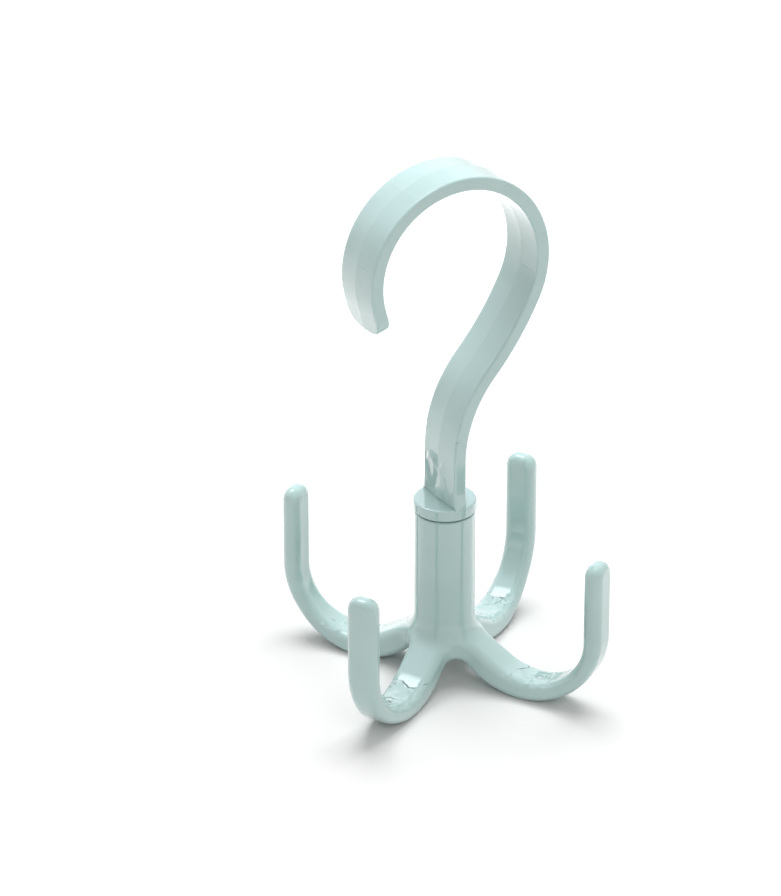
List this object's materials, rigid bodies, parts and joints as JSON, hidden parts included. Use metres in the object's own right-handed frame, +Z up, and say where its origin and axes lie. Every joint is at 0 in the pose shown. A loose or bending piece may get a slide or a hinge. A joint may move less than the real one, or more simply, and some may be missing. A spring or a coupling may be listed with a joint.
{
  "type": "rotating closet hook",
  "caption": "Swivel hook for a closet rail: a flat band bent into a hanging hook turns on a hub with upturned arms around it for belts, ties or bags.",
  "frame": {"origin": "on the floor under the hub's axis, at the middle of the bottom of the bounding box, where the arms stand", "axes": "+Z up along the hub's axis, from the claw to the hook; the arms point along +X, +Y, -X and -Y; the hook's band lies in a plane 60 degrees from +X towards +Y"},
  "size_m": [0.09, 0.09, 0.14],
  "materials": {
    "hook_plastic": "glossy pale aqua, injection-moulded",
    "claw_plastic": "glossy pale aqua, injection-moulded",
    "zinc_steel": "zinc-plated"
  },
  "bodies": {
    "claw_body": {"claw": "claw_plastic"},
    "hook_body": {"top_hook": "hook_plastic", "retaining_screw": "zinc_steel", "retaining_washer": "zinc_steel"}
  },
  "joints": [
    {"name": "hook_swivel", "type": "hinge", "parent": "claw_body", "child": "hook_body", "pos_m": [0, 0, 0.0463], "axis": [0, 0, 1], "continuous": true}
  ]
}
